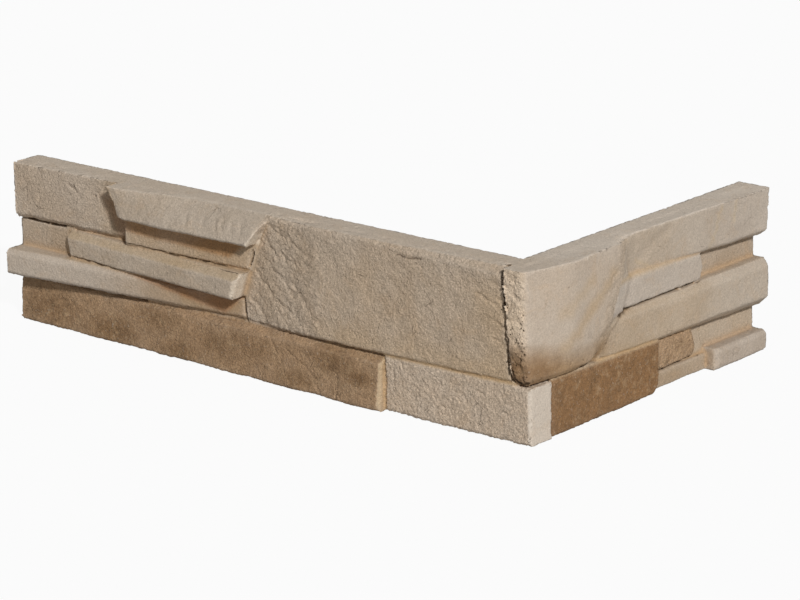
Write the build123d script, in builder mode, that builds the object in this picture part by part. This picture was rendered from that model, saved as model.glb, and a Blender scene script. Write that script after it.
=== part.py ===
"""Corner piece of a cast ledge-stone wall cladding, one solid casting.

Two plain legs meet at a right angle and wrap the outside corner of a wall. Their fronts carry
stones of different heights and depths, moulded in one piece with the legs. Millimetres, +Z up.
The origin is the foot of the wall's corner: the long leg runs along -X with its back on the
plane Y = 0, and the short leg runs along +Y with its back on the plane X = 0.
A reach is a distance along a leg from the wall's corner. It is negative round the corner, in
front of the other leg. A depth is a distance out from the leg's back, and a rise is a height.
"""

import os
from math import sin

from build123d import *

# The two legs
LONG_LEG = 376.0
SHORT_LEG = 204.0
LONG_BACKING = 13.0
SHORT_BACKING = 11.0

# Courses of the long leg, stacked from the bed to the top
BED_COURSE = 32.5
BAND_COURSE = 15.0
STRIP_COURSE = 16.5
PACKING_COURSE = 17.5
SHELF_COURSE = 18.5

# Courses of the short leg, from the bed up: its top stone takes what is left
TOE_COURSE = 13.0
TOE_RECESS = 14.5
BELLY_COURSE = 29.5
BROW_RECESS = 13.5

# Bevels along the stones' edges, and the wider sheds on some tops and undersides
EDGE_BEVEL = 1.8
FINE_BEVEL = 0.8
TOP_SHED = 4.5
UNDER_SHED = 4.0

# Open joints between the stones
JOINT_WIDTH = 1.3
JOINT_DEPTH = 6.0
CREVICE_WIDTH = 1.9
CREVICE_SWAY = 0.9
CREVICE_STEP = 5.2
JOINT_SWAY = 0.4
JOINT_STEP = 11.0
TOP_SEAM_DEPTH = 1.6

# Stones at the foot of the long leg
FOOT_START = 85.0
FOOT_DEPTH_NEAR = 24.6
FOOT_DEPTH_FAR = 20.8
FOOT_LEAN = 0.09
FOOT_TOP_FALL = 1.0
QUOIN_FOOT_TOP_RISE = 1.0
QUOIN_FOOT_DEPTH = 19.8
QUOIN_FOOT_RETURN = 19.8

# Stones at the far end of the long leg
FLAT_LENGTH = 93.0
FLAT_DEPTH_NEAR = 18.2
FLAT_DEPTH_FAR = 21.5
RECESS_LENGTH = 43.5
RECESS_DEPTH = 17.0
BAND_DEPTH_NEAR = 17.0
BAND_DEPTH_FAR = 31.4
BAND_FOOT_FALL = 2.0
BAND_BEVEL = 2.7
STRIP_DEPTH_NEAR = 29.8
STRIP_DEPTH_FAR = 22.0
STRIP_END_SLANT = 6.0
STRIP_NOSE = 1.5
PACKING_DEPTH_NEAR = 20.0
PACKING_DEPTH_FAR = 23.5
SHELF_SETBACK = 96.0
SHELF_END_SLANT = 11.0
SHELF_WEAR = 1.8
SHELF_LIP_DEPTH = 31.5
SHELF_BROW_DEPTH = 27.0
SHELF_TOP_DEPTH = 16.8
SHELF_FAR_TOP_DEPTH = 29.8
SHELF_LEVEL_REACH = 232.0

# Large face stone of the long leg
FACE_FOOT_END = 192.0
FACE_TOP_END = 169.0
FACE_DEPTH_NEAR = 19.8
FACE_DEPTH_RIDGE = 21.6
FACE_DEPTH_FAR = 17.3
FACE_RIDGE_REACH = 133.0
FACE_TOP_DROP = 5.0
FACE_TOP_LEAN = 0.9
FACE_FOOT_RISE = 2.0
FACE_LAP = 0.4

# Large quoin stone, which turns the corner: its end shows on the long side past the crevice
QUOIN_RETURN_DEPTH = 21.6
QUOIN_CORNER_DEPTH_TOP = 17.5
QUOIN_CORNER_DEPTH_FOOT = 20.5
QUOIN_BELLY_DEPTH = 26.5
QUOIN_BELLY_LOSS = 2.5
QUOIN_BELLY_REACH = 12.0
QUOIN_CHEEK_DEPTH = 23.4
QUOIN_CHEEK_LENGTH = 15.0
QUOIN_END_DEPTH = 17.0
QUOIN_FOOT_END = 50.0
QUOIN_TOP_END = 72.0
QUOIN_UNDER_LOSS = 14.0
QUOIN_TOP_LOSS = 3.0
QUOIN_NOTCH_RISE = 50.0
QUOIN_NOTCH_HEIGHT = 5.0
QUOIN_NOTCH_STEP = 9.0
QUOIN_FULL_RISE = 74.0
QUOIN_FOOT_RISE = 2.5
QUOIN_FOOT_ROUND = 3.0
QUOIN_CORNER_ROUND = 5.0
QUOIN_BELLY_ROUND = 30.0
QUOIN_CHEEK_ROUND = 12.0
QUOIN_END_ROUND = 2.0
CREVICE_TOP = 0.8
CREVICE_FOOT = 8.0

# Stones further along the short leg
TOE_BROWN_START = 1.0
TOE_BROWN_END = 101.0
TOE_BROWN_WEAR = 5.0
TOE_BROWN_NEAR_RISE = 2.1
TOE_BROWN_FAR_RISE = 4.7
TOE_BROWN_DEPTH = 19.3
CHIP_END = 142.0
CHIP_DEPTH = 15.5
CHIP_WEAR = 5.0
CHIP_TOP_RISE = 3.4
TOE_THIN_DEPTH = 13.4
TOE_THIN_HEIGHT = 10.0
TOE_FLOOR = 8.0
TOE_NOSE_START = 153.5
TOE_NOSE_DEPTH = 21.2
TOE_GAP = 1.5
BELLY_DEPTH_NEAR = 18.5
BELLY_DEPTH_FAR = 21.8
BELLY_SLANT = 6.0
BELLY_UNDER_SHED = 6.4
BELLY_TOP_SHED = 3.2
WEDGE_END = 145.0
WEDGE_DEPTH = 18.4
WEDGE_WEAR = 3.0
WEDGE_NEAR_RISE = 9.0
WEDGE_FAR_RISE = 3.5
WEDGE_SHED_HEIGHT = 5.5
BROW_DEPTH_NEAR = 15.3
BROW_DEPTH_FAR = 20.4
BROW_LEAN = -0.06
BROW_SLANT = 5.5

# Working allowances: how deep a stone is rooted, how far it tucks behind its neighbour, how far
# it is left long before the trim, and a block deep enough for every stone
ROOT = 4.0
TUCK = 3.0
RUN_OUT = 8.0
BLOCK = 60.0

band_line = BED_COURSE
strip_line = band_line + BAND_COURSE
packing_line = strip_line + STRIP_COURSE
shelf_line = packing_line + PACKING_COURSE
panel_top = shelf_line + SHELF_COURSE
over_top = panel_top + RUN_OUT
long_over = LONG_LEG + RUN_OUT
short_over = SHORT_LEG + RUN_OUT
belly_line = TOE_COURSE + TOE_RECESS
brow_recess_line = belly_line + BELLY_COURSE
brow_line = brow_recess_line + BROW_RECESS
quoin_bed = BED_COURSE + QUOIN_FOOT_RISE


def place(leg, reach, depth, rise):
    """The point at a reach, a depth and a rise on one leg."""
    if leg == "long":
        return Vector(-reach, -depth, rise)
    return Vector(depth, reach, rise)


def face_plane(leg, depth):
    """Upright plane along a leg at a depth, on which x is the reach and y is the rise."""
    along = place(leg, 1, 0, 0)
    return Plane(origin=place(leg, 0, depth, 0), x_dir=along, z_dir=along.cross(Vector(0, 0, 1)))


def outward(leg):
    """Sign of the way out of the wall along the leg's face planes."""
    return 1 if face_plane(leg, 0).z_dir.dot(place(leg, 0, 1, 0)) > 0 else -1


def front_plane(leg, near, far, lean, rise):
    """Plane through two (reach, depth) points at a rise, leaning in by lean per unit of height."""
    start = place(leg, *near, rise)
    normal = (place(leg, *far, rise) - start).cross(place(leg, 0, -lean, 1))
    faces_out = normal.dot(place(leg, 0, 1, 0)) > 0
    return Plane(origin=start, z_dir=normal if faces_out else normal * -1)


def upright(start, end, near_depth, far_depth):
    """An upright front between two reaches, as (near point, far point, lean, rise)."""
    return (start, near_depth), (end, far_depth), 0.0, 0.0


def shed(front, edge, height, setback):
    """A bevel of a front that takes setback off its depth at an edge, from height below or above."""
    near, far, lean, rise = front
    loss = lean * (edge - rise) + setback
    return (near[0], near[1] - loss), (far[0], far[1] - loss), lean + setback / height, edge


def stone(leg, outline, fronts, bevel=EDGE_BEVEL, root=ROOT, sheds=()):
    """A stone of an upright outline, cut back to its fronts, bevelled along its rims, then shed."""
    with BuildPart() as body:
        with BuildSketch(face_plane(leg, root)):
            with BuildLine():
                Polyline(*outline, close=True)
            make_face()
        extrude(amount=outward(leg) * BLOCK)
        for front in fronts:
            split(bisect_by=front_plane(leg, *front), keep=Keep.BOTTOM)
        faces = body.faces().filter_by(lambda face: face.normal_at().dot(place(leg, 0, 1, 0)) > 0.4)
        rims = [rim for rim in faces.edges() if sum(rim in face.edges() for face in faces) == 1]
        chamfer(rims, length=bevel)
        for cut in sheds:
            split(bisect_by=front_plane(leg, *cut), keep=Keep.BOTTOM)
    return body.part


def joint(leg, path, floor, width=JOINT_WIDTH):
    """An open joint along a path of (reach, rise) points, down to a depth and pointed at its ends."""
    run = Vector(*path[-1]) - Vector(*path[0])
    side = Vector(-run.Y, run.X).normalized() * (width / 2)
    middle = [Vector(*point) for point in path[1:-1]]
    upper = [point + side for point in middle]
    lower = [point - side for point in reversed(middle)]
    with BuildPart() as slot:
        with BuildSketch(face_plane(leg, floor)):
            with BuildLine():
                Polyline(path[0], *upper, path[-1], *lower, close=True)
            make_face()
        extrude(amount=outward(leg) * BLOCK)
    return slot.part


def ragged(start, end, step, sway):
    """Points from start to end, a step apart, that wander by up to sway to both sides of the line."""
    run = Vector(*end) - Vector(*start)
    side = Vector(-run.Y, run.X).normalized() * sway
    steps = max(3, round(run.length / step))
    points = []
    for i in range(steps + 1):
        wander = sin(2.3 * i) * (0.6 + 0.4 * sin(5.1 * i))
        point = Vector(*start) + run * (i / steps) + side * wander
        points.append((point.X, point.Y))
    return points


# Long leg, bed course: the corner's foot stone, then one long brown stone
quoin_foot = stone(
    "long",
    [
        (-QUOIN_FOOT_RETURN, 0),
        (FOOT_START, 0),
        (FOOT_START, BED_COURSE + 0.5 * FACE_FOOT_RISE + FACE_LAP),
        (-CREVICE_FOOT, BED_COURSE + FACE_FOOT_RISE + FACE_LAP),
        (-CREVICE_FOOT - TUCK, BED_COURSE + QUOIN_FOOT_TOP_RISE),
        (-QUOIN_FOOT_RETURN, BED_COURSE + QUOIN_FOOT_TOP_RISE),
    ],
    [upright(0, FOOT_START, QUOIN_FOOT_DEPTH, QUOIN_FOOT_DEPTH)],
    root=0.0,
)
foot_front = ((FOOT_START, FOOT_DEPTH_NEAR), (LONG_LEG, FOOT_DEPTH_FAR), FOOT_LEAN, 0.0)
foot = stone(
    "long",
    [(FOOT_START, 0), (long_over, 0), (long_over, BED_COURSE - FOOT_TOP_FALL), (FOOT_START, BED_COURSE)],
    [foot_front],
    sheds=[shed(foot_front, BED_COURSE, TOP_SHED, TOP_SHED)],
)

# Long leg, far half: the slanting band over the foot, and the shorter strip lying on it
band_start = FACE_FOOT_END - TUCK
band = stone(
    "long",
    [
        (band_start, band_line),
        (long_over, band_line - BAND_FOOT_FALL),
        (long_over, strip_line),
        (band_start, strip_line),
    ],
    [upright(FACE_FOOT_END, LONG_LEG, BAND_DEPTH_NEAR, BAND_DEPTH_FAR)],
    bevel=BAND_BEVEL,
)
strip_end = LONG_LEG - RECESS_LENGTH
strip_start = FACE_FOOT_END - STRIP_END_SLANT
strip_front = upright(FACE_FOOT_END, strip_end, STRIP_DEPTH_NEAR, STRIP_DEPTH_FAR)
strip = stone(
    "long",
    [
        (FACE_FOOT_END, strip_line),
        (strip_end - STRIP_NOSE, strip_line),
        (strip_end + STRIP_NOSE, packing_line - TOP_SHED),
        (strip_end, packing_line),
        (strip_start, packing_line),
    ],
    [strip_front],
    sheds=[shed(strip_front, packing_line, TOP_SHED, TOP_SHED)],
)
strip_recess = stone(
    "long",
    [
        (strip_end - TUCK, strip_line - TUCK),
        (long_over, strip_line - TUCK),
        (long_over, packing_line + TUCK),
        (strip_end - TUCK, packing_line + TUCK),
    ],
    [upright(strip_end, LONG_LEG, RECESS_DEPTH, RECESS_DEPTH)],
    bevel=FINE_BEVEL,
)

# Long leg, upper courses at the far end: a flat stone, and the packing strip under the shelf
flat_start = LONG_LEG - FLAT_LENGTH
flat_front = upright(flat_start, LONG_LEG, FLAT_DEPTH_NEAR, FLAT_DEPTH_FAR)
flat_stone = stone(
    "long",
    [(flat_start, packing_line), (long_over, packing_line), (long_over, over_top), (flat_start, over_top)],
    [flat_front],
    sheds=[shed(flat_front, packing_line, -UNDER_SHED, UNDER_SHED)],
)
packing_end = FACE_TOP_END + SHELF_END_SLANT
packing = stone(
    "long",
    [
        (strip_start - 0.5 * TUCK, packing_line),
        (flat_start, packing_line),
        (flat_start, shelf_line + TUCK),
        (packing_end - TUCK, shelf_line + TUCK),
    ],
    [upright(FACE_FOOT_END, flat_start, PACKING_DEPTH_NEAR, PACKING_DEPTH_FAR)],
)

# The shelf is lofted through four upright sections, slanted at its ends. Each one is (reach at the
# foot, reach at the top, loss of depth at a worn end, depth half way up, depth at the top).
shelf_far = LONG_LEG - SHELF_SETBACK
shelf_far_top = shelf_far + SHELF_END_SLANT
shelf_brow_far = SHELF_BROW_DEPTH + SHELF_WEAR
shelf_far_depth = SHELF_FAR_TOP_DEPTH - 0.5 * SHELF_WEAR
shelf_sections = [
    (packing_end, FACE_TOP_END, SHELF_WEAR, SHELF_BROW_DEPTH - 0.5 * SHELF_WEAR, SHELF_TOP_DEPTH),
    (SHELF_LEVEL_REACH, SHELF_LEVEL_REACH, 0, SHELF_BROW_DEPTH, SHELF_TOP_DEPTH),
    (shelf_far - 2 * SHELF_WEAR, shelf_far_top - 4 * SHELF_WEAR, 0, shelf_brow_far, shelf_far_depth),
    (shelf_far, shelf_far_top, SHELF_WEAR, shelf_brow_far, shelf_far_depth),
]
with BuildPart() as shelf:
    for foot_reach, top_reach, loss, brow_depth, top_depth in shelf_sections:
        rise = place("long", top_reach - foot_reach, 0, SHELF_COURSE)
        slant = Plane(
            origin=place("long", foot_reach, 0, shelf_line),
            x_dir=place("long", 0, 1, 0),
            z_dir=place("long", 0, 1, 0).cross(rise),
        )
        lip = SHELF_LIP_DEPTH - loss
        with BuildSketch(slant):
            with BuildLine():
                Polyline(
                    (ROOT, 0),
                    (lip - EDGE_BEVEL, 0),
                    (lip, EDGE_BEVEL),
                    (min(brow_depth, lip), 0.5 * rise.length),
                    (top_depth, rise.length),
                    (ROOT, rise.length),
                    close=True,
                )
            make_face()
    loft(ruled=True)

# Long leg, near half: the large face stone, ridged down its middle and broken along its top
face_near = upright(0, FACE_RIDGE_REACH, FACE_DEPTH_NEAR, FACE_DEPTH_RIDGE)
face_far = upright(FACE_RIDGE_REACH, FACE_FOOT_END, FACE_DEPTH_RIDGE, FACE_DEPTH_FAR)
face_break = (
    (0, FACE_DEPTH_NEAR - FACE_TOP_DROP * FACE_TOP_LEAN),
    (FACE_RIDGE_REACH, FACE_DEPTH_RIDGE - FINE_BEVEL),
    FACE_TOP_LEAN,
    panel_top,
)
face_stone = stone(
    "long",
    [
        (-CREVICE_FOOT - TUCK, BED_COURSE + FACE_FOOT_RISE),
        (FACE_FOOT_END, BED_COURSE),
        (FACE_FOOT_END + 0.3 * TUCK, strip_line),
        (strip_start + TUCK, packing_line),
        (packing_end + 0.4 * TUCK, shelf_line),
        (FACE_TOP_END + 0.7 * TUCK, panel_top),
        (-CREVICE_TOP - TUCK, panel_top),
    ],
    [face_near, face_far],
    sheds=[face_break],
)

# Quoin stone, lofted through level sections from its rounded underside to over the top. Each
# section is (height, share of the crevice's slant, inset, corner depth, belly depth, end reach).
corner_mid = 0.5 * (QUOIN_CORNER_DEPTH_FOOT + QUOIN_CORNER_DEPTH_TOP)
belly_low = QUOIN_BELLY_DEPTH - QUOIN_BELLY_LOSS
belly_mid = QUOIN_BELLY_DEPTH - 0.5 * QUOIN_BELLY_LOSS
under_end = QUOIN_FOOT_END - QUOIN_UNDER_LOSS
foot_end = QUOIN_FOOT_END - 0.4 * QUOIN_UNDER_LOSS
notch_end = QUOIN_FOOT_END + 0.7 * QUOIN_NOTCH_STEP
past_notch = notch_end + QUOIN_NOTCH_STEP
notch_top = QUOIN_NOTCH_RISE + QUOIN_NOTCH_HEIGHT
quoin_levels = [
    (quoin_bed, 1.0, QUOIN_FOOT_ROUND, QUOIN_CORNER_DEPTH_FOOT, belly_low, under_end),
    (quoin_bed + QUOIN_FOOT_ROUND, 0.8, FINE_BEVEL, QUOIN_CORNER_DEPTH_FOOT, belly_low, foot_end),
    (QUOIN_NOTCH_RISE, 0.65, 0, corner_mid, belly_mid, notch_end),
    (notch_top, 0.6, 0, corner_mid, belly_mid, past_notch),
    (QUOIN_FULL_RISE, 0.4, 0, QUOIN_CORNER_DEPTH_TOP, QUOIN_BELLY_DEPTH, QUOIN_TOP_END),
    (over_top, 0.1, 0, QUOIN_CORNER_DEPTH_TOP, QUOIN_BELLY_DEPTH, QUOIN_TOP_END - QUOIN_TOP_LOSS),
]
with BuildPart() as quoin:
    for height, slant_share, inset, corner, belly_depth, end in quoin_levels:
        crevice_x = slant_share * CREVICE_FOOT
        with BuildSketch(Plane.XY.offset(height)):
            with BuildLine():
                FilletPolyline(
                    (crevice_x, -QUOIN_RETURN_DEPTH + inset),
                    (corner - inset, -QUOIN_RETURN_DEPTH + inset),
                    (belly_depth - inset, QUOIN_BELLY_REACH),
                    (QUOIN_CHEEK_DEPTH - inset, end - QUOIN_CHEEK_LENGTH),
                    (QUOIN_END_DEPTH - inset, end),
                    (crevice_x, end),
                    radius=[
                        0,
                        QUOIN_CORNER_ROUND - inset,
                        QUOIN_BELLY_ROUND,
                        QUOIN_CHEEK_ROUND,
                        QUOIN_END_ROUND,
                        0,
                    ],
                    close=True,
                )
            make_face()
    loft(ruled=True)

# Short leg, bed course: a brown stone, a worn chip beside it, a thin stone and a nose at the end
toe_front = upright(TOE_BROWN_START, TOE_BROWN_END, TOE_BROWN_DEPTH, TOE_BROWN_DEPTH)
toe_brown = stone(
    "short",
    [
        (TOE_BROWN_START, 0),
        (TOE_BROWN_END - TOE_BROWN_WEAR, 0),
        (TOE_BROWN_END, TOE_BROWN_WEAR),
        (TOE_BROWN_END, belly_line + TOE_BROWN_FAR_RISE),
        (TOE_BROWN_START, BED_COURSE + TOE_BROWN_NEAR_RISE),
    ],
    [toe_front],
)
chip = stone(
    "short",
    [
        (TOE_BROWN_END - TUCK, TOE_COURSE - TOE_GAP),
        (CHIP_END - 0.5 * CHIP_WEAR, TOE_COURSE - TOE_GAP),
        (CHIP_END, TOE_COURSE + CHIP_WEAR),
        (CHIP_END - CHIP_WEAR, belly_line + CHIP_TOP_RISE),
        (TOE_BROWN_END - TUCK, belly_line + CHIP_TOP_RISE),
    ],
    [upright(TOE_BROWN_END, CHIP_END, CHIP_DEPTH, CHIP_DEPTH)],
)
toe_thin = stone(
    "short",
    [
        (TOE_BROWN_END - TUCK, 0),
        (TOE_NOSE_START + TUCK, 0),
        (TOE_NOSE_START + TUCK, TOE_THIN_HEIGHT),
        (TOE_BROWN_END - TUCK, TOE_THIN_HEIGHT),
    ],
    [upright(TOE_BROWN_END, TOE_NOSE_START, TOE_THIN_DEPTH, TOE_THIN_DEPTH)],
    bevel=FINE_BEVEL,
)
toe_nose = stone(
    "short",
    [(TOE_NOSE_START, 0), (short_over, 0), (short_over, TOE_COURSE), (TOE_NOSE_START, TOE_COURSE)],
    [upright(TOE_NOSE_START, SHORT_LEG, TOE_NOSE_DEPTH, TOE_NOSE_DEPTH)],
)

# Short leg, upper courses: a long belly stone, a wedge on it, and the brow stone along the top
belly_start = QUOIN_FOOT_END - 2 * TUCK
belly_front = upright(QUOIN_FOOT_END, SHORT_LEG, BELLY_DEPTH_NEAR, BELLY_DEPTH_FAR)
belly = stone(
    "short",
    [
        (belly_start, belly_line + BELLY_SLANT),
        (short_over, belly_line),
        (short_over, brow_recess_line),
        (belly_start, brow_recess_line),
    ],
    [belly_front],
    sheds=[
        shed(belly_front, belly_line, -BELLY_UNDER_SHED, BELLY_UNDER_SHED),
        shed(belly_front, brow_recess_line, TOP_SHED, BELLY_TOP_SHED),
    ],
)
wedge_start = QUOIN_FOOT_END + TUCK
wedge_top = brow_line + WEDGE_NEAR_RISE
wedge_front = upright(wedge_start, WEDGE_END, WEDGE_DEPTH, WEDGE_DEPTH)
wedge = stone(
    "short",
    [
        (wedge_start, brow_recess_line),
        (WEDGE_END - WEDGE_WEAR, brow_recess_line),
        (WEDGE_END, brow_line - TOP_SHED),
        (WEDGE_END - WEDGE_WEAR, brow_line + WEDGE_FAR_RISE),
        (wedge_start, wedge_top),
    ],
    [wedge_front],
    sheds=[shed(wedge_front, wedge_top, WEDGE_SHED_HEIGHT, TOP_SHED)],
)
brow_start = QUOIN_TOP_END - 2 * TUCK
brow_front = ((QUOIN_TOP_END, BROW_DEPTH_NEAR), (SHORT_LEG, BROW_DEPTH_FAR), BROW_LEAN, brow_line)
brow = stone(
    "short",
    [
        (brow_start, brow_line + BROW_SLANT),
        (short_over, brow_line),
        (short_over, over_top),
        (brow_start, over_top),
    ],
    [brow_front],
    sheds=[shed(brow_front, brow_line, -UNDER_SHED, UNDER_SHED)],
)

# Open joints: the ragged crevice down the corner that turns under the quoin stone, then each joint
# as (leg, start, end, depth of its floor)
crevice_floor = LONG_BACKING
crevice_head = (-CREVICE_TOP, over_top)
crevice_foot = (-0.75 * CREVICE_FOOT, quoin_bed + 2 * QUOIN_FOOT_ROUND)
crevice_turn = [(-CREVICE_FOOT, quoin_bed + CREVICE_SWAY), (-CREVICE_FOOT - TUCK, quoin_bed - CREVICE_SWAY)]
crevice_path = ragged(crevice_head, crevice_foot, CREVICE_STEP, CREVICE_SWAY) + crevice_turn
crevice = joint("long", crevice_path, crevice_floor, CREVICE_WIDTH)
face_floor = FACE_DEPTH_FAR - JOINT_DEPTH
recess_floor = RECESS_DEPTH - JOINT_DEPTH
foot_joint = BED_COURSE - 0.5 * JOINT_WIDTH
over_strip = strip_line + JOINT_WIDTH
under_packing = packing_line - JOINT_WIDTH
chip_joint = TOE_COURSE - TOE_GAP
toe_start = 0.5 * TOE_BROWN_START
joint_runs = [
    ("long", (FOOT_START, foot_joint + JOINT_WIDTH), (FACE_FOOT_END + TUCK, foot_joint), face_floor),
    ("long", (FACE_FOOT_END, BED_COURSE - JOINT_WIDTH), (FACE_FOOT_END, over_strip), face_floor),
    ("long", (FACE_FOOT_END - TUCK, foot_joint), (long_over, BED_COURSE - BAND_FOOT_FALL), recess_floor),
    ("long", (strip_end - TUCK, packing_line + 0.5 * JOINT_WIDTH), (long_over, packing_line), recess_floor),
    ("long", (strip_start + 0.5 * TUCK, under_packing), (packing_end, shelf_line), recess_floor),
    ("short", (toe_start, -RUN_OUT), (toe_start, BED_COURSE), SHORT_BACKING),
    ("short", (TOE_BROWN_END, chip_joint), (CHIP_END, chip_joint), TOE_FLOOR),
    ("short", (QUOIN_TOP_END - TUCK, brow_recess_line), (WEDGE_END, brow_recess_line), SHORT_BACKING),
]
joints = []
for leg, start, end, floor in joint_runs:
    joints.append(joint(leg, ragged(start, end, JOINT_STEP, JOINT_SWAY), floor))

# The whole casting: plain legs, every stone on them, and flat ends, bed and top
with BuildPart() as stone_corner:
    with BuildSketch():
        with BuildLine():
            Polyline(
                (-LONG_LEG, 0),
                (0, 0),
                (0, SHORT_LEG),
                (SHORT_BACKING, SHORT_LEG),
                (SHORT_BACKING, -LONG_BACKING),
                (-LONG_LEG, -LONG_BACKING),
                close=True,
            )
        make_face()
    extrude(amount=panel_top)
    add([quoin_foot, foot, band, strip, strip_recess, flat_stone, packing])
    add([shelf.part, face_stone, quoin.part])
    add([toe_brown, chip, toe_thin, toe_nose, belly, wedge, brow])
    add([crevice, *joints], mode=Mode.SUBTRACT)
    with BuildSketch(Plane.XY.offset(panel_top)):
        with BuildLine():
            Polyline(
                (CREVICE_TOP, -0.5 * LONG_BACKING),
                (CREVICE_TOP - 0.5 * CREVICE_WIDTH, -LONG_BACKING - TUCK),
                (CREVICE_TOP + 0.5 * CREVICE_WIDTH, -LONG_BACKING - TUCK),
                close=True,
            )
        make_face()
    extrude(amount=-TOP_SEAM_DEPTH, mode=Mode.SUBTRACT)
    with BuildSketch():
        with Locations((-LONG_LEG, SHORT_LEG)):
            Rectangle(LONG_LEG + BLOCK, SHORT_LEG + BLOCK, align=(Align.MIN, Align.MAX))
    extrude(amount=panel_top, mode=Mode.INTERSECT)

os.makedirs("parts", exist_ok=True)
stone_corner.part.label = "stone_corner"
export_step(stone_corner.part, "parts/stone_corner.step")
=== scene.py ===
from math import cos, radians, sin

import bpy
import numpy as np
from mathutils import Matrix, Vector

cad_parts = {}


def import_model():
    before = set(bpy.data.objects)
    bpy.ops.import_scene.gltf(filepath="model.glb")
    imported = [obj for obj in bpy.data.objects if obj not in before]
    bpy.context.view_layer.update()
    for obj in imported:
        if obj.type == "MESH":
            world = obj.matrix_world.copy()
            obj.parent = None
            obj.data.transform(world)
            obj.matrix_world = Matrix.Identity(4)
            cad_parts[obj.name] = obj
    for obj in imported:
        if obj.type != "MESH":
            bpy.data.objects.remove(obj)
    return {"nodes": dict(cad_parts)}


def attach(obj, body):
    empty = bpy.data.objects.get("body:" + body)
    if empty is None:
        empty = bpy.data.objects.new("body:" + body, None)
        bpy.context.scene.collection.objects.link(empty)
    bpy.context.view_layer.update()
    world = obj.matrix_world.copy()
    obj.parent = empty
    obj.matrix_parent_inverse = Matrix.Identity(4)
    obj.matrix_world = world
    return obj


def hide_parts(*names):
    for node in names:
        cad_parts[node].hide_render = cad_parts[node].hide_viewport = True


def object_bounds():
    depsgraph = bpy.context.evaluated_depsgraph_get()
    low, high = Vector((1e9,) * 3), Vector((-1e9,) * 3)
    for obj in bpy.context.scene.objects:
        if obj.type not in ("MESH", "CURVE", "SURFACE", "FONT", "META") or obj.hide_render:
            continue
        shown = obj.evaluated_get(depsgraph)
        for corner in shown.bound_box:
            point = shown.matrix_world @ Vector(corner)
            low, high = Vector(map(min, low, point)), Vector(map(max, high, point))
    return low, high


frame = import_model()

cad_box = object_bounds()


# The casting: one block of light concrete, poured face down into a soft mould, so that both legs
# and every stone on them are one closed skin. It starts as a copy of the plain solid, divided
# finely enough to carry the relief of split stone.
VOXEL = 0.0005

bpy.ops.object.select_all(action="DESELECT")
casting = bpy.data.objects.new("cast_corner", frame["nodes"]["stone_corner"].data.copy())
bpy.context.scene.collection.objects.link(casting)
bpy.context.view_layer.objects.active = casting
casting.select_set(True)
bpy.ops.object.mode_set(mode="EDIT")
bpy.ops.mesh.select_all(action="SELECT")
bpy.ops.mesh.remove_doubles(threshold=1e-6)
bpy.ops.object.mode_set(mode="OBJECT")
remesh = casting.modifiers.new("divide", "REMESH")
remesh.mode = "VOXEL"
remesh.voxel_size = VOXEL
bpy.ops.object.modifier_apply(modifier=remesh.name)
skin = casting.data


def rows(data, field, width, kind=np.float64):
    """One field of every vertex or edge of the skin, a row for each."""
    values = np.empty(len(data) * width, dtype=kind)
    data.foreach_get(field, values)
    return values.reshape(-1, width)


# From here on the skin is measured in millimetres, as the stones are: a reach is a distance along
# a leg from the wall's corner, a depth is out from the leg's back, and a rise is a height.
place = rows(skin.vertices, "co", 3) * 1000
facing = rows(skin.vertices, "normal", 3)
REACH = {"long": -place[:, 0], "short": place[:, 1]}
DEPTH = {"long": -place[:, 1], "short": place[:, 0]}
FACES_OUT = {"long": -facing[:, 1], "short": facing[:, 0]}
RISE = place[:, 2]
BACKING = {"long": 13, "short": 11}
PANEL_TOP = cad_box[1][2] * 1000
chance = np.random.default_rng(11)


# Arrises wear ragged, and dust and oxide gather in the joints, which also take a little painted
# shade, so each point of the skin is first told how far it stands out from what is around it,
# near by and further off.
edges = rows(skin.edges, "vertices", 2, np.int32)
shared = np.bincount(edges.ravel(), minlength=len(place))[:, None]


def widened(mean, passes):
    """The mean place of each point's surroundings, which every pass widens by a point."""
    for _ in range(passes):
        total = np.zeros_like(mean)
        for axis in range(3):
            total[:, axis] = np.bincount(edges[:, 0], mean[edges[:, 1], axis], len(place))
            total[:, axis] += np.bincount(edges[:, 1], mean[edges[:, 0], axis], len(place))
        mean = total / shared
    return mean


def standing_out(mean):
    """How many millimetres each point stands out from the mean of its surroundings."""
    return np.einsum("ij,ij->i", place - mean, facing)


near_mean = widened(place, 6)
far_mean = widened(near_mean, 40)
narrow, wide = standing_out(near_mean), standing_out(far_mean)
arris = np.clip(narrow / 0.25, 0, 1)
joint_dust_and_shade = np.clip(-narrow / 0.22, 0, 1)
corner_dust = np.clip(-wide / 0.9, 0, 1)
edge_wear = np.clip(wide / 0.8, 0, 1)


# The backing of both legs: a plain slab of the same mix, trowelled flat at the back, with a level
# top and bed where the mould's sides stood. Each stone that follows adds its share of every kind
# of relief and of the blotches, and the oxide colours brushed on it, and in places painted shadow
# or highlight.
BODY_TAN, BACK_GREY = (0.45, 0.35, 0.25), (0.46, 0.41, 0.35)
KINDS = (
    "swell", "lumps", "split", "wear", "grain",
    "mottle", "pit", "dark", "ochre", "holes",
)
amount = {kind: np.zeros(len(place)) for kind in KINDS}
pigment_and_painted_light = np.tile(BODY_TAN, (len(place), 1))


def paint(weight, colour):
    """Brushes a colour on the skin: an oxide, or in places painted shadow or highlight."""
    pigment_and_painted_light[:] += (np.array(colour) - pigment_and_painted_light) * weight[:, None]


def mould(weight, colour, **shares):
    """Gives a stone its colour and its shares of each kind of relief."""
    paint(weight, colour)
    for kind, share in shares.items():
        amount[kind] += (share - amount[kind]) * weight


def past(value, start, width):
    """0 up to the start, and from there rising to 1 over a width."""
    return np.clip((value - start) / width, 0, 1)


def before(value, start, width):
    """0 from the start on, and rising to 1 over a width before it."""
    return np.clip((start - value) / width, 0, 1)


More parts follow.
